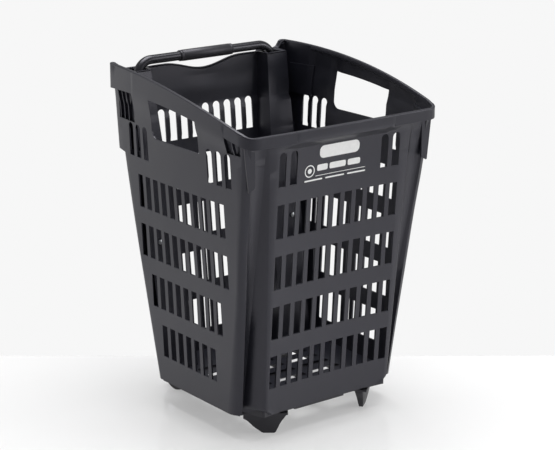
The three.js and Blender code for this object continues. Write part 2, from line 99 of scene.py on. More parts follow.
def material(name, color, roughness, metallic=0.0, grain=0.0008, bump=0.1, variation=0.15,
             cloud=0.04, specular=0.5, stretch=(1, 1, 1)):
    """A procedural finish: grain is the size of its fine texture, cloud of its slow changes, in metres."""
    made = bpy.data.materials.new(name)
    made.use_nodes = True
    nodes, links = made.node_tree.nodes, made.node_tree.links
    shader = nodes["Principled BSDF"]
    shader.inputs["Metallic"].default_value = metallic
    shader.inputs["Specular IOR Level"].default_value = specular
    shader.inputs["Specular Tint"].default_value = (0.92, 0.90, 1.0, 1)
    place = nodes.new("ShaderNodeTexCoord")
    mapping = nodes.new("ShaderNodeMapping")
    mapping.inputs["Scale"].default_value = stretch
    links.new(place.outputs["Object"], mapping.inputs["Vector"])

    def noise(size, detail):
        texture = nodes.new("ShaderNodeTexNoise")
        texture.inputs["Scale"].default_value = 1 / size
        texture.inputs["Detail"].default_value = detail
        links.new(mapping.outputs["Vector"], texture.inputs["Vector"])
        return texture.outputs["Fac"]

    def spread(source, low, high):
        ranged = nodes.new("ShaderNodeMapRange")
        ranged.inputs["From Min"].default_value = 0.3
        ranged.inputs["From Max"].default_value = 0.7
        ranged.inputs["To Min"].default_value = low
        ranged.inputs["To Max"].default_value = high
        links.new(source, ranged.inputs["Value"])
        return ranged.outputs["Result"]

    slow = noise(cloud, 3)
    fine = noise(grain, 2)
    tone = nodes.new("ShaderNodeMix")
    tone.data_type = "RGBA"
    tone.inputs["A"].default_value = (*[c * (1 - variation) for c in color], 1)
    tone.inputs["B"].default_value = (*[min(1, c * (1 + variation)) for c in color], 1)
    links.new(spread(slow, 0, 1), tone.inputs["Factor"])
    links.new(tone.outputs["Result"], shader.inputs["Base Color"])
    links.new(spread(slow, roughness * 0.92, min(1, roughness * 1.1)), shader.inputs["Roughness"])
    dents = nodes.new("ShaderNodeBump")
    dents.inputs["Strength"].default_value = bump
    dents.inputs["Distance"].default_value = grain * 0.2
    links.new(fine, dents.inputs["Height"])
    links.new(dents.outputs["Normal"], shader.inputs["Normal"])
    return made


MOULDED = material("moulded_charcoal", (0.009, 0.0095, 0.014), 0.36, grain=0.0007, bump=0.12, cloud=0.05)
TRIM = material("trim_black", (0.007, 0.007, 0.008), 0.4, grain=0.0006, bump=0.1, cloud=0.03)
PAINT = material("handle_black_paint", (0.008, 0.0085, 0.010), 0.28, metallic=0.1, grain=0.0025, bump=0.06)
GRIP = material("grip_black", (0.010, 0.010, 0.012), 0.46, grain=0.0006, bump=0.25)
RUBBER = material("tyre_rubber", (0.018, 0.018, 0.018), 0.78, grain=0.0009, bump=0.35, cloud=0.015)
HUB = material("hub_grey", (0.06, 0.06, 0.065), 0.42, grain=0.0008, bump=0.12, cloud=0.02)
BUSH = material("bush_white", (0.62, 0.60, 0.55), 0.4, grain=0.0006, bump=0.1, variation=0.05)
STEEL = material("guide_steel", (0.30, 0.31, 0.33), 0.3, metallic=0.9, grain=0.0008, bump=0.12,
                 cloud=0.012, stretch=(1, 1, 0.05))
ZINC = material("bright_zinc", (0.62, 0.64, 0.66), 0.32, metallic=1.0, grain=0.0007, bump=0.12, cloud=0.004)
PRINT = material("white_print", (0.86, 0.86, 0.85), 0.5, grain=0.0004, bump=0.05, variation=0.03, cloud=0.006)


# ---- Making a piece ----


def piece(name, points, faces, finish, slot, body, replaced=(), thickness=0.0, bevel=0.0,
          sharp=35.0, merge=0.02, segments=1):
    """A mesh piece from points in millimetres. Thickness is added behind its faces."""
    mesh = bpy.data.meshes.new(name)
    mesh.from_pydata([Vector(p) * MM for p in points], [], faces)
    if merge:
        tidy = bmesh.new()
        tidy.from_mesh(mesh)
        bmesh.ops.remove_doubles(tidy, verts=tidy.verts, dist=merge * MM)
        tidy.to_mesh(mesh)
        tidy.free()
    made = bpy.data.objects.new(name, mesh)
    bpy.context.scene.collection.objects.link(made)
    if thickness:
        thicken = made.modifiers.new("thickness", "SOLIDIFY")
        thicken.thickness = thickness * MM
        thicken.offset = -1
        thicken.use_even_offset = True
        thicken.thickness_clamp = 2.0
    if bevel:
        rounding = made.modifiers.new("edges", "BEVEL")
        rounding.width = bevel * MM
        rounding.segments = segments
        rounding.limit_method = "ANGLE"
        rounding.angle_limit = math.radians(40)
        rounding.use_clamp_overlap = True
    if thickness or bevel:
        bpy.context.view_layer.update()
        graph = bpy.context.evaluated_depsgraph_get()
        baked = bpy.data.meshes.new_from_object(made.evaluated_get(graph))
        made.modifiers.clear()
        made.data = baked
    made.data.name = name
    made.data.shade_smooth()
    made.data.set_sharp_from_angle(angle=math.radians(sharp))
    made.data.materials.clear()
    made.data.materials.append(finish)
    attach(made, body)
    if replaced:
        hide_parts(*replaced)
    return made


class Shape:
    """Points and faces of a mesh as it is put together."""

    def __init__(self):
        self.points = []
        self.faces = []

    def face(self, corners):
        start = len(self.points)
        self.points += [tuple(c) for c in corners]
        self.faces.append(tuple(range(start, start + len(corners))))

    def grid(self, rows, skip=lambda row, column: False, flip=False):
        """Faces between rows of points; every row has the same number of points."""
        for r in range(len(rows) - 1):
            for c in range(len(rows[r]) - 1):
                if skip(r, c):
                    continue
                corners = [rows[r][c], rows[r][c + 1], rows[r + 1][c + 1], rows[r + 1][c]]
                self.face(corners[::-1] if flip else corners)

    def prism(self, low, high):
        """A closed solid between two outlines with the same number of points."""
        count = len(low)
        self.face(low[::-1])
        self.face(high)
        for i in range(count):
            j = (i + 1) % count
            self.face([low[i], low[j], high[j], high[i]])

    def mirrored(self):
        """With its reflection in the plane x = 0."""
        offset = len(self.points)
        self.points += [(-x, y, z) for x, y, z in self.points]
        self.faces += [tuple(offset + i for i in reversed(face)) for face in list(self.faces)]
        return self


# ---- The basket's walls ----


def front_y(z):
    return -(FRONT_FOOT + FRONT_LEAN * z)


def rear_y(z):
    return REAR_FOOT + REAR_LEAN * z


NOTCH_WIDTH, NOTCH_HEIGHT = 13, 14  # at the front wall's two bottom corners


def full_front_half(z):
    return 129.7 + 0.033 * z


def front_half(z):
    """Half the width of the front wall, less its notch."""
    notch = NOTCH_WIDTH * (1 - smooth((z - EDGE_Z) / NOTCH_HEIGHT))
    return full_front_half(z) - notch


def rear_half(z):
    return 85.2 + 0.0644 * z


def ridge_y(z):
    """Front edge of each side wall."""
    back = 3 * (1 - smooth((z - 330) / 110))
    return max(back - (129 + 0.124 * z), front_y(z) + 0.5)


def side_front_y(z):
    return max(-(100.7 + 0.19 * z), ridge_y(z) + 9)


def side_rear_y(z):
    if z >= STEP_Z:
        return 183 + 0.077 * (z - STEP_Z)
    return 83 + 0.183 * z


def bow(y):
    """How far the top of a side wall curves outwards; it does so more and more above BOW_LOW."""
    return 6.8 - 4.8 * (y / 200) - 10.9 * (y / 200) ** 2


BOW_LOW, BOW_HEIGHT = 250, 280


def side_x(y, z):
    return SIDE_FOOT + SIDE_LEAN * z + clamp((z - BOW_LOW) / BOW_HEIGHT, 0.04, 1) * bow(y)


def rim_half(y):
    return 198.9 + bow(y)


def rim_front(x):
    return RIM_FRONT_Y - max(0.0, 1 - (x / 170) ** 2)


def along_rim(y):
    """0 near the rear end of the side walls and 1 near their front end."""
    return (201.9 - max(y, RIM_FRONT_Y)) / 391.3


def side_top(y):
    along = along_rim(y)
    return 590 + 4.4 * along - 58 * along**2


SKIRT_REAR, SKIRT_FRONT = 43, 20  # depth of the rim's skirt at the two ends


def skirt_bottom(y):
    return side_top(y) - SKIRT_REAR + (SKIRT_REAR - SKIRT_FRONT) * along_rim(y)


# How the rim climbs from the rear wall's top to the side walls': distance out, and height
SHOULDER_X = 164
SHOULDER = [(0, 0), (6, 2), (9, 5.5), (11.5, 10), (15, 12.5), (20, 13.5)]
DIP, DIP_HALF = 14.5, 82  # the dip in the middle of the rear wall's top


def rear_top(x):
    out = abs(x) - SHOULDER_X
    dip = DIP * math.cos(x / DIP_HALF * math.pi / 2) ** 2 if abs(x) < DIP_HALF else 0
    rise = 0.0
    for (a, low), (b, high) in zip(SHOULDER, SHOULDER[1:]):
        if out >= a:
            rise = mix(low, high, clamp((out - a) / (b - a)))
    return REAR_TOP_Z + rise - dip


def rim_top(x, y):
    top = side_top(y) - 0.5 * max(0.0, 1 - (x / 190) ** 2) * smooth((-186 - y) / 18)
    return min(top, rear_top(x)) if y > 140 and abs(x) < 184 else top


FRONT_FLARE, SIDE_FLARE = 14.0, 30.0  # heights over which the walls turn out to meet the rim
HOLLOW, HOLLOW_HALF = 5, 135  # the front wall curves in by this much in its middle


def front_surface(x, z):
    """Outside of the front wall in its middle part, where it runs out into the rim."""
    flat = front_y(z) + HOLLOW * (1 - (x / HOLLOW_HALF) ** 2)
    start = skirt_bottom(RIM_FRONT_Y) - FRONT_FLARE
    return mix(flat, rim_front(x), smooth((z - start) / (FRONT_FLARE + 2)))


def side_surface(y, z):
    start = skirt_bottom(y) - SIDE_FLARE
    return mix(side_x(y, z), rim_half(y), smooth((z - start) / (SIDE_FLARE + 2)))


def used_columns(z):
    """How far from the middle the side walls have slots at a height."""
    if z >= TOP_ROW_Z - SLOT_HEIGHT:
        return 6
    if z >= TOP_ROW_Z - 2 * ROW_PITCH - SLOT_HEIGHT:
        return 5
    return 4 if z >= TOP_ROW_Z - 3 * ROW_PITCH - SLOT_HEIGHT else 3


def front_lines(z):
    xs = [0.0, SLOT_HALF]
    for n in range(1, 6):
        xs += [n * SLOT_PITCH + side * SLOT_HALF for side in (-1, 0, 1)]
    half = front_half(z)
    if z < TOP_ROW_Z - 4 * ROW_PITCH - SLOT_HEIGHT:
        xs[-3:] = [mix(xs[-4], half, k / 4) for k in (1, 2, 3)]
    return [*xs, half]


def rear_lines(z):
    xs = [n * SLOT_PITCH + side * SLOT_HALF for n in range(4, 0, -1) for side in (1, 0, -1)]
    if z < TOP_ROW_Z - 2 * ROW_PITCH - SLOT_HEIGHT:
        xs[:3] = [mix(rear_half(z), xs[3], k / 4) for k in (1, 2, 3)]
    return [*xs, SLOT_HALF, 0.0]


def side_lines(z):
    used = used_columns(z)
    inner = [SIDE_MIDDLE + n * SLOT_PITCH + s * SLOT_HALF for n in range(-used, used + 1) for s in (-1, 0, 1)]
    beyond = 3 * (6 - used) + 1
    first, last = side_front_y(z), side_rear_y(z)
    before = [mix(first, inner[0], (k + 1) / (beyond + 1)) for k in range(beyond)]
    after = [mix(inner[-1], last, (k + 1) / (beyond + 1)) for k in range(beyond)]
    lines = [first, *before, *inner, *after, last]
    if z >= HAND_HOLE["low"]:
        lines[line_of(-3) + 2] = HAND_HOLE["front"]
        lines[line_of(2) + 2] = HAND_HOLE["rear"] - HAND_HOLE["corner"]
        lines[line_of(3)] = HAND_HOLE["rear"]
        lines[1], lines[-2] = FRONT_POCKET_YS[0], REAR_POCKET_YS[1]
    if z >= POCKET_LOW_Z:
        lines[line_of(-6) + 1] = FRONT_POCKET_YS[1]
        lines[line_of(5) + 2] = REAR_POCKET_YS[0]
    return lines


def line_of(n):
    """Index in side_lines of the front edge of slot n."""
    return 2 + 3 * (n + 6)


WEB_STEPS = (0.814, 0.04)  # lines on the recessed rear corner, either side of the leg's opening
FINGER_STEPS = (0.12, 0.3, 0.45, 0.56, 0.68, 0.8, 0.92)
FRONT_COUNT = len(front_lines(100))
CORNER_COUNT = 7
SIDE_COUNT = len(side_lines(100))
SIDE_START = FRONT_COUNT + CORNER_COUNT
REAR_CORNER_START = SIDE_START + SIDE_COUNT
REAR_START = REAR_CORNER_START + 2 + len(FINGER_STEPS) + 2 + len(WEB_STEPS) + 2
COUNT = REAR_START + len(rear_lines(100))


def wall_points(z):
    """Outside of the walls' right half at a height, from the middle of the front to that of the rear."""
    points = [(x, front_y(z) + HOLLOW * (1 - (x / HOLLOW_HALF) ** 2)) for x in front_lines(z)]
    recess = max(2.0, 45.4 - 0.085 * z)
    half = front_half(z)
    full = full_front_half(z)
    web = front_y(z) + recess
    ridge, edge = ridge_y(z), side_front_y(z)
    corner = side_x(edge, z)
    points[-1] = (half, front_y(z))
    points.append((half + 5, front_y(z) + min(5, 0.6 * recess)))
    points.append((full + 6 + 0.25 * recess, web))
    points.append((corner - max(13, 20.7 - 0.015 * z), web))
    start, middle, end = (corner - 12, ridge), (corner - 1.5, ridge + 1.5), (corner, edge)
    for t in (0, 0.3, 0.55, 0.8):
        points.append(mix_point(mix_point(start, middle, t), mix_point(middle, end, t), t))
    points += [(side_x(y, z), y) for y in side_lines(z)]
    to = side_rear_y(z)
    rear_x = side_x(to, z)
    rear_web = rear_y(z) - (64.5 - 0.0687 * z)
    finger = [(rear_x - 4, to + 7), (rear_x - (11.4 + 0.019 * z), to + 7)]
    points += [(rear_x - 1, to + 4), finger[0]]
    points += [mix_point(*finger, t) for t in FINGER_STEPS]
    points.append(finger[1])
    across = [rear_half(z) + 4, rear_x - (12.1 + 0.02 * z)]
    points.append((across[1], rear_web))
    points += [(mix(*across, t), rear_web) for t in WEB_STEPS]
    points.append((across[0], rear_web))
    points.append((rear_half(z), rear_y(z)))
    points += [(x, rear_y(z)) for x in rear_lines(z)]
    return points


def rim_points():
    """Outer edge of the rim beside each line of the walls, and the direction that faces out there."""
    z = 560.0
    walls = wall_points(z)
    made = []
    for x, _ in walls[:FRONT_COUNT]:
        made.append(((x, rim_front(x)), (0, -1)))
    for x in (154, 160, 170):
        made.append(((x, rim_front(x)), (0, -1)))
    centre_x = rim_half(RIM_FRONT_Y) - RIM_FRONT_RADIUS
    centre_y = RIM_FRONT_Y + RIM_FRONT_RADIUS
    for turn in (-88, -62, -38, -15):
        out = (math.cos(math.radians(turn)), math.sin(math.radians(turn)))
        made.append(((centre_x + RIM_FRONT_RADIUS * out[0], centre_y + RIM_FRONT_RADIUS * out[1]), out))
    for y in side_lines(505.0):
        made.append(((rim_half(y), y), (1, 0)))
    corner_y = RIM_REAR_Y - RIM_REAR_RADIUS
    corner_x = rim_half(corner_y) - RIM_REAR_RADIUS
    made.append(((rim_half(194), 194), (1, 0)))
    for turn in (0, 25, 50, 75, 90):
        out = (math.cos(math.radians(turn)), math.sin(math.radians(turn)))
        made.append(((corner_x + RIM_REAR_RADIUS * out[0], corner_y + RIM_REAR_RADIUS * out[1]), out))
    for x in (178.0, 174.0, 170.5, *[p[0] for p in walls[len(made) + 3:]]):
        made.append(((x, RIM_REAR_Y), (0, 1)))
    return made


RIM = rim_points()


def flare_of(column):
    """1 where the wall runs out smoothly into the rim, 0 where the rim's skirt stands clear of it."""
    if column < FRONT_COUNT:
        return smooth((149 - front_lines(500)[column]) / 46.5)
    if SIDE_START + line_of(-6) + 1 <= column <= SIDE_START + line_of(5) + 2:
        return 1.0
    return 0.0


ROW_LEVELS = [TOP_ROW_Z - row * ROW_PITCH - up for row in (4, 3, 2, 1) for up in (SLOT_HEIGHT, 0)]
LEVELS = [EDGE_Z, 46, 49, 52, 55, 58, *ROW_LEVELS, 440, STEP_Z, 450, 457, 464, 471, 478, 484,
          TOP_ROW_Z - SLOT_HALF, TOP_ROW_Z, POCKET_LOW_Z]
SKIRT_LEVEL = len(LEVELS) + 2  # index of the level at the skirt's bottom edge
ARCH_LEVEL = len(LEVELS) - 3
BEAD_DEPTH = 2.0


def column_heights(column):
    (x, y), _ = RIM[column]
    skirt = skirt_bottom(y)
    top = rim_top(x, y) - BEAD_DEPTH
    if FRONT_COUNT <= column < SIDE_START:
        top -= 3  # inside the bead
    if column >= REAR_CORNER_START:
        top = rim_top(*wall_points(575)[column]) - 2 * BEAD_DEPTH
    between = [mix(POCKET_LOW_Z, skirt, t) for t in (0.35, 0.7, 1)]
    return [*LEVELS, *between, *[mix(skirt, top, t) for t in (0.3, 0.65, 1)]]


def wall_rows():
    """Points of the walls' outside: one row for each level."""
    columns = []
    for column in range(COUNT):
        (rim_x, rim_y), (out_x, out_y) = RIM[column]
        flare = flare_of(column)
        heights = column_heights(column)
        skirt, top = skirt_bottom(rim_y), heights[-1]
        rise = FRONT_FLARE if column < FRONT_COUNT else SIDE_FLARE
        behind = (rim_x - 3.2 * out_x, rim_y - 3.2 * out_y)
        made = []
        for z in heights:
            wall = wall_points(z)[column]
            along = flare * smooth((z - skirt + rise) / (rise + 2))
            if flare < 1 and z > skirt and column < REAR_CORNER_START:
                below = mix_point(wall, (rim_x, rim_y), flare * smooth(rise / (rise + 2)))
                at = mix_point(below, behind, smooth((z - skirt) / (top - skirt)))
            else:
                at = mix_point(wall, (rim_x, rim_y), along)
            made.append((*at, z))
        columns.append(made)
    return [list(row) for row in zip(*columns)]


def slot_cells():
    """For each row of slots, the columns whose cells are open."""
    rows = []
    for row in range(5):
        cells = []
        front = range(0, 6) if row else (4, 5)
        side_reach = (6, 5, 5, 4, 3)[row]
        side = [n for n in range(-side_reach, side_reach + 1) if row or abs(n) > 3]
        for n in front:
            cells += [0] if n == 0 else [2 + 3 * (n - 1), 3 + 3 * (n - 1)]
        for n in side:
            cells += [SIDE_START + line_of(n), SIDE_START + line_of(n) + 1]
        for n in range(0, 5 if row < 3 else 4):
            first = REAR_START + 3 * (4 - n)
            cells += [first] if n == 0 else [first, first + 1]
        rows.append(cells)
    return rows


def on_cell(rows, row, column, u, v):
    low = mix_point(rows[row][column], rows[row][column + 1], u)
    high = mix_point(rows[row + 1][column], rows[row + 1][column + 1], u)
    return mix_point(low, high, v)


ARCH_STEPS = 6


def arch_fillers(shape, rows, cells):
    """The wall above the round tops of the first row: each slot is two cells wide, or one at the middle."""
    quarter = [math.pi / 2 * k / ARCH_STEPS for k in range(ARCH_STEPS + 1)]
    for column in cells:
        at_middle = column in (0, COUNT - 2)
        rising = (column + 1 in cells) and not at_middle
        if column == COUNT - 2:
            rising = True  # the last cell before the middle of the rear wall
        if rising:
            arc = [(1 - math.cos(a), math.sin(a)) for a in quarter]
            outline = [*arc, (0, 1)]
        else:
            arc = [(math.sin(a), math.cos(a)) for a in quarter]
            outline = [*arc, (1, 1)]
        shape.face([on_cell(rows, ARCH_LEVEL, column, u, v) for u, v in outline])


POCKETS = [
    # first and last line of each opening
    (SIDE_START + 1, SIDE_START + line_of(-6) + 1),
    (SIDE_START + line_of(5) + 2, SIDE_START + SIDE_COUNT - 2),
]
POCKET_DEPTH, POCKET_SHELL = 5.0, 0.8


def pocket_trays():
    """Thin trays behind the pockets' openings, a little larger than them."""
    shape = Shape()
    rows = wall_rows()
    low, high = len(LEVELS) - 1, SKIRT_LEVEL
    for first, last in POCKETS:
        levels = [low, *range(low, high + 1), high]
        columns = [first, *range(first, last + 1), last]
        tray = []
        for i, level in enumerate(levels):
            row = []
            for j, column in enumerate(columns):
                x, y, z = rows[level][column]
                on_edge = i in (0, len(levels) - 1) or j in (0, len(columns) - 1)
                depth = WALL - 0.2 if on_edge else POCKET_DEPTH
                beyond_y = 1.5 * ((column == last) - (column == first))
                beyond_z = 1.5 * ((level == high) - (level == low))
                row.append((x - depth, y + beyond_y, z + beyond_z))
            tray.append(row)
        ends = (0, len(levels) - 2), (0, len(columns) - 2)
        shape.grid(tray, skip=lambda row, column: row in ends[0] and column in ends[1])
    return shape.mirrored()


def hand_hole_corner(shape):
    """The rounded lower rear corner of each hand hole."""
    radius = HAND_HOLE["corner"]
    rear, low = HAND_HOLE["rear"], HAND_HOLE["low"]
    steps = [math.pi / 2 * k / ARCH_STEPS for k in range(ARCH_STEPS + 1)]
    height = TOP_ROW_Z - low
    arc = [(rear - radius + radius * math.sin(a), low + height * (1 - math.cos(a))) for a in steps]
    outline = [(rear, low), (rear, TOP_ROW_Z - SLOT_HALF), *reversed(arc)]
    shape.face([(side_surface(y, z), y, z) for y, z in outline])


def basket_walls():
    shape = Shape()
    rows = wall_rows()
    cells = slot_cells()
    bottoms = [TOP_ROW_Z - row * ROW_PITCH - SLOT_HEIGHT for row in range(5)]
    open_cells = set()
    for level, z in enumerate(LEVELS[:-1]):
        for row, bottom in enumerate(bottoms):
            if bottom - 0.1 < z < bottom + SLOT_HEIGHT - 0.1:
                open_cells |= {(level, column) for column in cells[row]}
    hole_level = LEVELS.index(484)
    for level in range(hole_level, SKIRT_LEVEL):
        for column in range(SIDE_START + line_of(-3) + 2, SIDE_START + line_of(3)):
            open_cells.add((level, column))
    for first, last in POCKETS:
        for level in range(len(LEVELS) - 1, SKIRT_LEVEL):
            open_cells |= {(level, column) for column in range(first, last)}
    shape.grid(rows, skip=lambda row, column: (row, column) in open_cells)
    arch_fillers(shape, rows, cells[0])
    hand_hole_corner(shape)
    return shape.mirrored()


def inset(points, distance):
    """The right half of an outline moved inwards, its ends on the plane x = 0."""
    made = []
    for i, (x, y) in enumerate(points):
        ax, ay = points[i - 1] if i else (-points[1][0], points[1][1])
        bx, by = points[i + 1] if i + 1 < len(points) else (-points[-2][0], points[-2][1])
        before = Vector((ay - y, x - ax)).normalized()
        after = Vector((y - by, bx - x)).normalized()
        mitre = before + after
        reach = distance / max(0.35, 0.5 * mitre.length_squared)
        made.append((x + mitre.x * reach, y + mitre.y * reach))
    return made


def rim_skirt():
    """The rim's skirt at the front corners, and the skirt and ledge behind the rear wall."""
    shape = Shape()
    front = range(FRONT_COUNT - 5, SIDE_START + line_of(-6) + 2)
    rows = []
    for t in (1, 0.5, 0):
        row = []
        for column in front:
            (x, y), _ = RIM[column]
            row.append((x, y, mix(rim_top(x, y) - BEAD_DEPTH, skirt_bottom(y), 1 - t)))
        rows.append(row)
    shape.grid(rows, flip=True)
    side = range(SIDE_START + line_of(5) + 2, REAR_CORNER_START)
    rear = range(REAR_CORNER_START - 1, COUNT)
    rows = []
    for t in (1, 0.5, 0):
        rows.append([(*RIM[c][0], mix(rim_top(*RIM[c][0]) - BEAD_DEPTH, skirt_bottom(RIM[c][0][1]), 1 - t))
                     for c in side])
    shape.grid(rows, flip=True)
    outside = wall_points(575)
    inside = inset(outside, WALL)
    columns = []
    for c in rear:
        (x, y), _ = RIM[c]
        middle = smooth((126 - x) / 14)  # behind the middle the ledge falls away from a thin wall
        top = rim_top(*outside[c])
        ledge_y = 200.5 if x < 181 else mix(outside[c][1], y, 0.5)
        ledge_x = mix(outside[c][0], x, 0.5)
        drop = 1 - middle
        edge_z = rim_top(x, y) - BEAD_DEPTH - 8 * middle
        columns.append([
            (*inside[c], top - drop),
            (*outside[c], top - drop - 0.3 * middle),
            (ledge_x, ledge_y, mix(top, edge_z, 0.5)),
            (x, y, edge_z),
            (x, y, mix(edge_z, skirt_bottom(y), 0.5)),
            (x, y, skirt_bottom(y)),
        ])
    rows = [list(row) for row in zip(*columns)]
    web = REAR_CORNER_START + 2 + len(FINGER_STEPS) + 2 - rear[0]
    shape.grid(rows, skip=lambda row, column: row == 1 and column == web, flip=True)
    return shape.mirrored()


BEAD = [(-0.03, -2.7), (-0.03, -1.2), (0.35, -0.35), (1.1, 0), (3.4, 0), (4.0, 0.3), (4.9, 0.3),
        (5.6, -0.2), (5.9, -1.0), (5.9, -7.5), (3.2, -9.5), (2.4, -3)]


def rim_bead():
    """The thick edge along the top of the rim: a section swept from one rear corner round to the other."""
    path = []
    for x in range(126, 181, 2):
        path.append((x, RIM_REAR_Y, 0, 1))
    corner_y = RIM_REAR_Y - RIM_REAR_RADIUS
    corner_x = rim_half(corner_y) - RIM_REAR_RADIUS
    for turn in range(84, -1, -12):
        out = (math.cos(math.radians(turn)), math.sin(math.radians(turn)))
        path.append((corner_x + RIM_REAR_RADIUS * out[0], corner_y + RIM_REAR_RADIUS * out[1], *out))
    front_y_end = RIM_FRONT_Y + RIM_FRONT_RADIUS
    for k in range(1, 40):
        y = mix(corner_y, front_y_end, k / 40)
        path.append((rim_half(y), y, 1, 0))
    centre_x = rim_half(RIM_FRONT_Y) - RIM_FRONT_RADIUS
    for turn in range(0, -91, -9):
        out = (math.cos(math.radians(turn)), math.sin(math.radians(turn)))
        path.append((centre_x + RIM_FRONT_RADIUS * out[0], front_y_end + RIM_FRONT_RADIUS * out[1], *out))
    for x in (172, 160, 145, 130, 115, 100, 85, 70, 55, 40, 25, 12, 0):
        path.append((x, rim_front(x), 0, -1))
    shape = Shape()
    rows = []
    for x, y, out_x, out_y in path:
        top = rim_top(x, y)
        ring = [(x - d * out_x, y - d * out_y, top + up) for d, up in BEAD]
        rows.append([*ring, ring[0]])
    shape.grid(rows, flip=True)
    shape.face(rows[0][:-1])
    return shape.mirrored()


FIN_YS = (145.0, 160.0, 175.0, -165.0)
FIN_HALF = 1.1
CORNER_FIN = [(174.0, 448.0), (185.5, 441.0), (187.0, 443.0), (195.2, 516.0), (174.0, 518.0)]
CORNER_FIN_REAR, CORNER_FIN_FRONT = -186.8, -190.2


def fins():
    """The stiffening fins in the pockets and outside the front corners."""
    shape = Shape()
    for y in FIN_YS:
        heights = [mix(POCKET_LOW_Z + 0.5, skirt_bottom(y), t) for t in (0, 0.25, 0.5, 0.75, 1)]
        outer = [(side_surface(y, z) - 0.3, z) for z in heights]
        root = [(side_surface(y, z) - POCKET_DEPTH - 0.3, z) for z in reversed(heights)]
        outline = [*root, *outer]
        shape.prism([(x, y + FIN_HALF, z) for x, z in outline], [(x, y - FIN_HALF, z) for x, z in outline])
    shape.prism([(x, CORNER_FIN_REAR, z) for x, z in CORNER_FIN],
                [(x, CORNER_FIN_FRONT, z) for x, z in CORNER_FIN])
    return shape.mirrored()


DRAIN_XS, DRAIN_ROWS = (-75, 0, 75), 7
DRAIN_FIRST_Y, DRAIN_PITCH = -120, 31
DRAIN_HALF_X, DRAIN_HALF_Y, DRAIN_RADIUS = 32, 6, 3


def basket_floor():
    """The floor with its drain slots, cut into triangles."""
    outline = inset(wall_points(FLOOR_TOP_Z)[:COUNT], WALL * 0.5)
    left = [(-x, y) for x, y in reversed(outline[1:-1])]
    loops = [[*outline, *left]]
    for x in DRAIN_XS:
        for row in range(DRAIN_ROWS):
            y = DRAIN_FIRST_Y + DRAIN_PITCH * row
            loops.append(rounded_box(x, y, DRAIN_HALF_X, DRAIN_HALF_Y, DRAIN_RADIUS, 3)[::-1])
    points = [p for loop in loops for p in loop]
    triangles = tessellate_polygon([[Vector((x, y, 0)) for x, y in loop] for loop in loops])
    shape = Shape()
    for triangle in triangles:
        a, b, c = (points[i] for i in triangle)
        up = (b[0] - a[0]) * (c[1] - a[1]) - (b[1] - a[1]) * (c[0] - a[0]) > 0
        corners = (a, b, c) if up else (a, c, b)
        shape.face([(x, y, FLOOR_TOP_Z) for x, y in corners])
    return shape


def rounded_box(x, y, half_x, half_y, radius, steps):
    """Outline of a box with round corners, anticlockwise."""
    made = []
    for k, (sx, sy) in enumerate([(1, 1), (-1, 1), (-1, -1), (1, -1)]):
        for i in range(steps + 1):
            a = math.pi / 2 * (k + i / steps)
            made.append((x + sx * (half_x - radius) + radius * math.cos(a),
                         y + sy * (half_y - radius) + radius * math.sin(a)))
    return made


def moulding(name, shape, **sizes):
    """A piece of the basket's own plastic."""
    piece(name, shape.points, shape.faces, MOULDED, "basket_plastic", "basket", **sizes)


moulding("basket_walls", basket_walls(), replaced=["basket_body"], thickness=WALL, bevel=0.45)
moulding("basket_pockets", pocket_trays(), thickness=POCKET_SHELL)
moulding("basket_skirt", rim_skirt(), thickness=WALL, bevel=0.4)
moulding("basket_rim_bead", rim_bead(), sharp=50)
moulding("basket_fins", fins(), bevel=0.4)
moulding("basket_floor", basket_floor(), thickness=WALL, bevel=0.3)


# ---- The print on the front wall: a plain label, a ring and bars, with no lettering ----


PRINT_LIFT = 0.35  # in front of the wall


def front_point(x, z):
    return (x, front_surface(x, z) - PRINT_LIFT, z)


def print_strip(shape, x0, x1, low, high, radius, count=14):
    """A bar with round ends that follows the wall."""
    middle, half = (low + high) / 2, (high - low) / 2
    xs = [mix(x0, x1, 0.5 - 0.5 * math.cos(math.pi * k / count)) for k in range(count + 1)]
    rows = [[], []]
    for x in xs:
        into = min(x - x0, x1 - x)
        reach = half
        if into < radius:
            reach = half - radius + math.sqrt(max(0.0, radius**2 - (radius - into) ** 2))
        rows[0].append(front_point(x, middle - reach))
        rows[1].append(front_point(x, middle + reach))
    shape.grid(rows)


def print_ring(shape, x, z, inner, outer, count=32):
    rows = [[], []]
    for k in range(count + 1):
        a = 2 * math.pi * k / count
        rows[0].append(front_point(x + outer * math.cos(a), z + outer * math.sin(a)))
        rows[1].append(front_point(x + inner * math.cos(a), z + inner * math.sin(a)))
    shape.grid(rows)


RING_X, RING_Z = -61.5, 457.5

marks = Shape()
print_strip(marks, -42, 41, 476, 497, 8.5, 20)
print_ring(marks, RING_X, RING_Z, 8.6, 10.4)
print_ring(marks, RING_X, RING_Z, 0.01, 4.2)
for start, end in ((-46, -24), (-20, 14), (18, 44)):
    print_strip(marks, start, end, 455.5, 466, 2.4, 8)
print_strip(marks, -50, 56, 447.2, 448.2, 0.4, 10)
for start, end in ((-72, -34), (-28, 12), (18, 56)):
    print_strip(marks, start, end, 440.2, 442.8, 0.8, 8)
piece("front_print", marks.points, marks.faces, PRINT, "basket_plastic", "basket", merge=0)


# ---- Round pieces ----


def turned(name, profile, axis, finish, slot, body, replaced=(), steps=48, sharp=40.0):
    """A closed profile of (radius, along) turned about an axis given by its origin and direction."""
    origin, along = Vector(axis[0]), Vector(axis[1]).normalized()
    across = along.orthogonal().normalized()
    third = along.cross(across)
    rows = []
    for k in range(steps + 1):
        a = 2 * math.pi * (k % steps) / steps
        out = across * math.cos(a) + third * math.sin(a)
        rows.append([tuple(origin + out * r + along * z) for r, z in [*profile, profile[0]]])
    shape = Shape()
    shape.grid(rows)
    return piece(name, shape.points, shape.faces, finish, slot, body, replaced, sharp=sharp, merge=0.005)


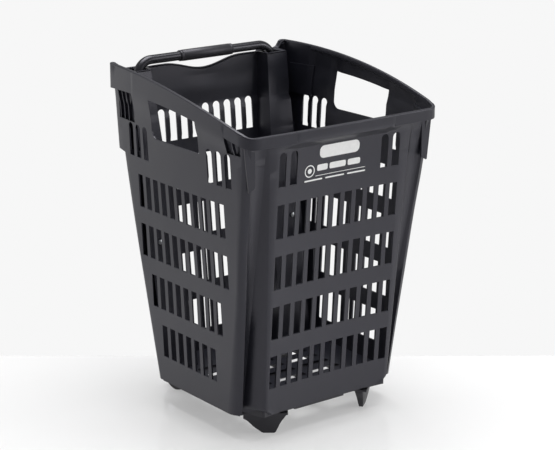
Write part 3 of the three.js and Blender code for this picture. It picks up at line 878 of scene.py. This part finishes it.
def swept(path, radius, sides=24):
    """A round bar along a path that lies in one plane."""
    shape = Shape()
    normal = (path[-1] - path[0]).cross(path[len(path) // 2] - path[0]).normalized()
    rows = []
    for i, point in enumerate(path):
        before = path[max(0, i - 1)]
        after = path[min(len(path) - 1, i + 1)]
        along = (after - before).normalized()
        other = along.cross(normal)
        ring = []
        for k in range(sides + 1):
            a = 2 * math.pi * (k % sides) / sides
            ring.append(tuple(point + (normal * math.cos(a) + other * math.sin(a)) * radius))
        rows.append(ring)
    shape.grid(rows)
    shape.face(rows[0][:-1][::-1])
    shape.face(rows[-1][:-1])
    return shape


def in_handle(x, y, z):
    """A point of the handle's own frame, whose Z runs along the legs."""
    c, s = math.cos(LEAN), math.sin(LEAN)
    return Vector((HANDLE_ORIGIN[0] + x, HANDLE_ORIGIN[1] + y * c + z * s, HANDLE_ORIGIN[2] - y * s + z * c))


def bail_path():
    bend_z, bar_x = BAIL_RISE - BEND_RADIUS, LEG_X - BEND_RADIUS
    points = [in_handle(LEG_X, 0, z) for z in (LEG_FOOT, LEG_FOOT + 1, -150, bend_z - 1)]
    for k in range(19):
        a = math.pi / 2 * k / 18
        points.append(in_handle(bar_x + BEND_RADIUS * math.cos(a), 0, bend_z + BEND_RADIUS * math.sin(a)))
    points += [in_handle(x, 0, BAIL_RISE) for x in (bar_x - 1, 60, 0)]
    left = [Vector((-p.x, p.y, p.z)) for p in reversed(points[:-1])]
    return [*points, *left]


tube = swept(bail_path(), LEG_RADIUS)
piece("handle_bail", tube.points, tube.faces, PAINT, "handle_paint", "handle", ["handle_tube"], sharp=60)

handle_up = (0, math.sin(LEAN), math.cos(LEAN))
grip_line = (in_handle(0, 0, BAIL_RISE), (1, 0, 0))
half_grip = [(10, 49.4), (9.45, 50.2), (9.45, 51.8), (9.7, 52.4), (9.7, 55.4), (9.3, 56), (8.05, 56)]
grip_profile = [*[(r, -along) for r, along in reversed(half_grip)], (10.05, 0), *half_grip]
turned("handle_sleeve", grip_profile, grip_line, GRIP, "grip_plastic", "handle", ["handle_grip"])

# Profiles about a leg: radius, and height in the handle's own frame
GUIDE = [(10, -310.7), (11.5, -310.7), (11.5, -26.3), (10, -26.3)]
COLLAR = [(8.35, -52), (9.7, -52), (9.7, -26), (12.1, -26), (12.1, -22.3), (11.4, -21.5), (8.35, -21.5)]

for side_name, s in SIDES:
    leg = (in_handle(s * LEG_X, 0, 0), handle_up)
    turned(f"guide_tube_{side_name}_fine", GUIDE, leg, STEEL, "guide_metal", "basket",
           [f"guide_tube_{side_name}"])
    turned(f"guide_collar_{side_name}_fine", COLLAR, leg, TRIM, "trim_plastic", "basket",
           [f"guide_collar_{side_name}"])


# ---- Wheels ----


SPOKES = 6
SPOKE = [(9.5, -1.3), (22.6, -1.1), (22.6, 1.1), (9.5, 1.3)]  # radius and distance to either side


def wheel(side_name, s):
    """A tyre, a hub and the spokes on both faces of the hub's disc."""
    body = f"{side_name}_wheel"
    line = ((s * WHEEL_X, AXLE_Y, WHEEL_RADIUS), (s, 0, 0))
    half = WHEEL_HALF
    tyre = [(26.8, 1 - half), (30, 0.2 - half), (33, 0.6 - half), (34.4, 2 - half), (35, 4.5 - half),
            (35, -0.8), (34.5, -0.4), (34.5, 0.4), (35, 0.8),
            (35, half - 4.5), (34.4, half - 2), (33, half - 0.6), (30, half - 0.2), (26.8, half - 1)]
    turned(f"tyre_{side_name}", tyre, line, RUBBER, "tyre_rubber", body, [f"wheel_tyre_{side_name}"], 72, 30)
    hub = [(6.8, -half), (9.4, -half), (10, 0.6 - half), (10, -3.6), (10.6, -3), (21.4, -3), (22, -3.6),
           (23, 1.6 - half), (23.6, 1 - half), (25.9, 1 - half), (26.5, 1.6 - half),
           (26.5, half - 1.6), (25.9, half - 1), (23.6, half - 1), (23, half - 1.6),
           (22, 3.6), (21.4, 3), (10.6, 3), (10, 3.6), (10, half - 0.6), (9.4, half), (6.8, half)]
    turned(f"hub_{side_name}", hub, line, HUB, "hub_plastic", body, [f"wheel_hub_{side_name}"], 60, 35)
    ribs = Shape()
    for k in range(SPOKES):
        a = 2 * math.pi * k / SPOKES
        out = Vector((0, math.cos(a), math.sin(a)))
        across = Vector((0, -math.sin(a), math.cos(a)))
        centre = Vector(line[0])
        for face in (-1, 1):
            low, high = [], []
            for r, w in SPOKE:
                flat = centre + out * r + across * w
                low.append(tuple(flat + Vector((face * 2.5, 0, 0))))
                high.append(tuple(flat + Vector((face * (8.6 if abs(r) > 15 else 9.4), 0, 0))))
            if face < 0:
                low.reverse()
                high.reverse()
            ribs.prism(low, high)
    piece(f"hub_ribs_{side_name}", ribs.points, ribs.faces, HUB, "hub_plastic", body, bevel=0.3)


for side_name, s in SIDES:
    wheel(side_name, s)
    cap_line = ((s * (WHEEL_X + 12.3), AXLE_Y, WHEEL_RADIUS), (s, 0, 0))
    dome = [(4.3, 0), (8.4, 0), (9, 0.6), (9, 2.6), (8.4, 4.1), (6.6, 5.6), (4, 6.8),
            (0, 7.5), (0, 5.6), (4.3, 5.6)]
    turned(f"axle_cap_{side_name}_fine", dome, cap_line, ZINC, "bright_zinc", "basket",
           [f"axle_cap_{side_name}"])


# ---- Front feet ----

FOOT_X, FOOT_Y, FOOT_TURN, FOOT_TOP = 103.5, -130.4, 0.65, 40.2
FOOT_PROFILE = [(-42, 27), (-37, 24), (-33, 20.5), (-29, 16.5), (-26, 13), (-20, 8), (-15, 4.4),
                (-11, 1.2), (-8, 0), (9, 0), (11.5, 0.5), (13, 2.4), (16, 9), (19, 16), (23, 23),
                (28, 30), (30.4, 34), (31, 37.2)]


def foot(side_name, s):
    """A blade set across the corner, thicker towards its top, under a flange."""
    turn = -FOOT_TURN if s < 0 else math.pi + FOOT_TURN
    c, d = math.cos(turn), math.sin(turn)

    def at(along, across, z):
        return (s * FOOT_X + along * c - across * d, FOOT_Y + along * d + across * c, z)

    def thickness(z):
        return mix(3.4, 7.5, clamp(z / FOOT_TOP) ** 0.8)

    profile = [*FOOT_PROFILE, (31, FOOT_TOP), (-42, FOOT_TOP)]
    shape = Shape()
    near = [at(a, thickness(z), z) for a, z in profile]
    far = [at(a, -thickness(z), z) for a, z in profile]
    shape.prism(near, far)
    flange = [(-44, -14), (33, -14), (33, 14), (-44, 14)]
    shape.prism([at(a, b, FOOT_TOP - 4) for a, b in flange], [at(a, b, FOOT_TOP) for a, b in flange])
    piece(f"foot_{side_name}", shape.points, shape.faces, TRIM, "trim_plastic", "basket",
          [f"front_foot_{side_name}"], bevel=0.7, segments=2)


for side_name, s in SIDES:
    foot(side_name, s)


# ---- Finishes of the CAD nodes that keep their shape ----


def finish_of(node):
    if "screw" in node or node == "rear_axle":
        return ZINC
    if node.startswith("wheel_bush"):
        return BUSH
    if node.startswith("guide_tube"):
        return STEEL
    return TRIM


for node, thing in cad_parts.items():
    thing.data.materials.clear()
    thing.data.materials.append(finish_of(node))


# ---- Stage, light and camera ----


def stage_plane(name, corners, finish):
    mesh = bpy.data.meshes.new(name)
    mesh.from_pydata(corners, [], [tuple(range(len(corners)))])
    made = bpy.data.objects.new(name, mesh)
    mesh.materials.append(finish)
    bpy.context.scene.collection.objects.link(made)
    return made


def glowing(name, strength):
    made = bpy.data.materials.new(name)
    made.use_nodes = True
    shader = made.node_tree.nodes["Principled BSDF"]
    shader.inputs["Base Color"].default_value = (0, 0, 0, 1)
    shader.inputs["Specular IOR Level"].default_value = 0
    shader.inputs["Emission Color"].default_value = (1, 1, 1, 1)
    shader.inputs["Emission Strength"].default_value = strength
    return made


CAMERA_AT = Vector((-1.807, -2.368, 1.171))
TARGET = Vector((0.0, 0.0062, 0.3137))
FORWARD = Vector((TARGET.x - CAMERA_AT.x, TARGET.y - CAMERA_AT.y, 0)).normalized()
RIGHT = Vector((FORWARD.y, -FORWARD.x, 0))

table = material("table_white", (0.52, 0.52, 0.52), 0.12, grain=0.002, bump=0.0, variation=0.01, cloud=0.6,
                 specular=0.4)
table_shader = table.node_tree.nodes["Principled BSDF"]
table_shader.inputs["Emission Color"].default_value = (1, 1, 1, 1)
table_shader.inputs["Emission Strength"].default_value = 0.34
TABLE_REACH, TABLE_END = 4.0, 0.205  # the table ends close behind the basket
SWEEP_REACH, SWEEP_END, SWEEP_Z = 9.0, 12.0, -0.0003


def stage_rectangle(half, near, far, z):
    corners = ((-half, near), (half, near), (half, far), (-half, far))
    return [Vector((0, 0, z)) + RIGHT * a + FORWARD * b for a, b in corners]


stage_plane("table_top", stage_rectangle(TABLE_REACH, -TABLE_REACH, TABLE_END, 0), table)
stage_plane("sweep", stage_rectangle(SWEEP_REACH, TABLE_END, SWEEP_END, SWEEP_Z),
            glowing("sweep_white", 0.93))


def world_light():
    """A pale room, a little darker on the camera's side."""
    world = bpy.data.worlds.new("studio")
    bpy.context.scene.world = world
    world.use_nodes = True
    nodes, links = world.node_tree.nodes, world.node_tree.links
    background = nodes["Background"]
    place = nodes.new("ShaderNodeTexCoord")
    facing = nodes.new("ShaderNodeVectorMath")
    facing.operation = "DOT_PRODUCT"
    facing.inputs[1].default_value = (FORWARD.x, FORWARD.y, 0.0)
    links.new(place.outputs["Generated"], facing.inputs[0])
    ramp = nodes.new("ShaderNodeMapRange")
    ramp.interpolation_type = "SMOOTHSTEP"
    ramp.inputs["From Min"].default_value = -0.35
    ramp.inputs["From Max"].default_value = 0.75
    ramp.inputs["To Min"].default_value = 0.34
    ramp.inputs["To Max"].default_value = 0.45
    links.new(facing.outputs["Value"], ramp.inputs["Value"])
    links.new(ramp.outputs["Result"], background.inputs["Strength"])
    background.inputs["Color"].default_value = (1, 1, 1, 1)


def softbox(name, place, size, power, aim=(0, 0, 0.3)):
    light = bpy.data.lights.new(name, "AREA")
    light.shape = "RECTANGLE"
    light.size, light.size_y = size
    light.energy = power
    made = bpy.data.objects.new(name, light)
    made.location = place
    made.rotation_euler = (Vector(aim) - Vector(place)).to_track_quat("-Z", "Y").to_euler()
    made.visible_camera = False
    bpy.context.scene.collection.objects.link(made)
    return made


world_light()
softbox("right_box", (2.3, -2.2, 1.3), (1.4, 1.6), 34)
softbox("left_box", (-2.2, 2.1, 1.15), (1.8, 2.2), 10)
softbox("top_box", (0.2, 0.1, 2.9), (2.0, 2.0), 95)

camera_data = bpy.data.cameras.new("camera")
camera_data.lens = 116.6
camera_data.sensor_width = 36
camera_data.shift_x = 0.0171
camera = bpy.data.objects.new("camera", camera_data)
camera.location = CAMERA_AT
camera.rotation_euler = (TARGET - CAMERA_AT).to_track_quat("-Z", "Y").to_euler()
bpy.context.scene.collection.objects.link(camera)
bpy.context.scene.camera = camera
bpy.context.scene.view_settings.view_transform = "Standard"
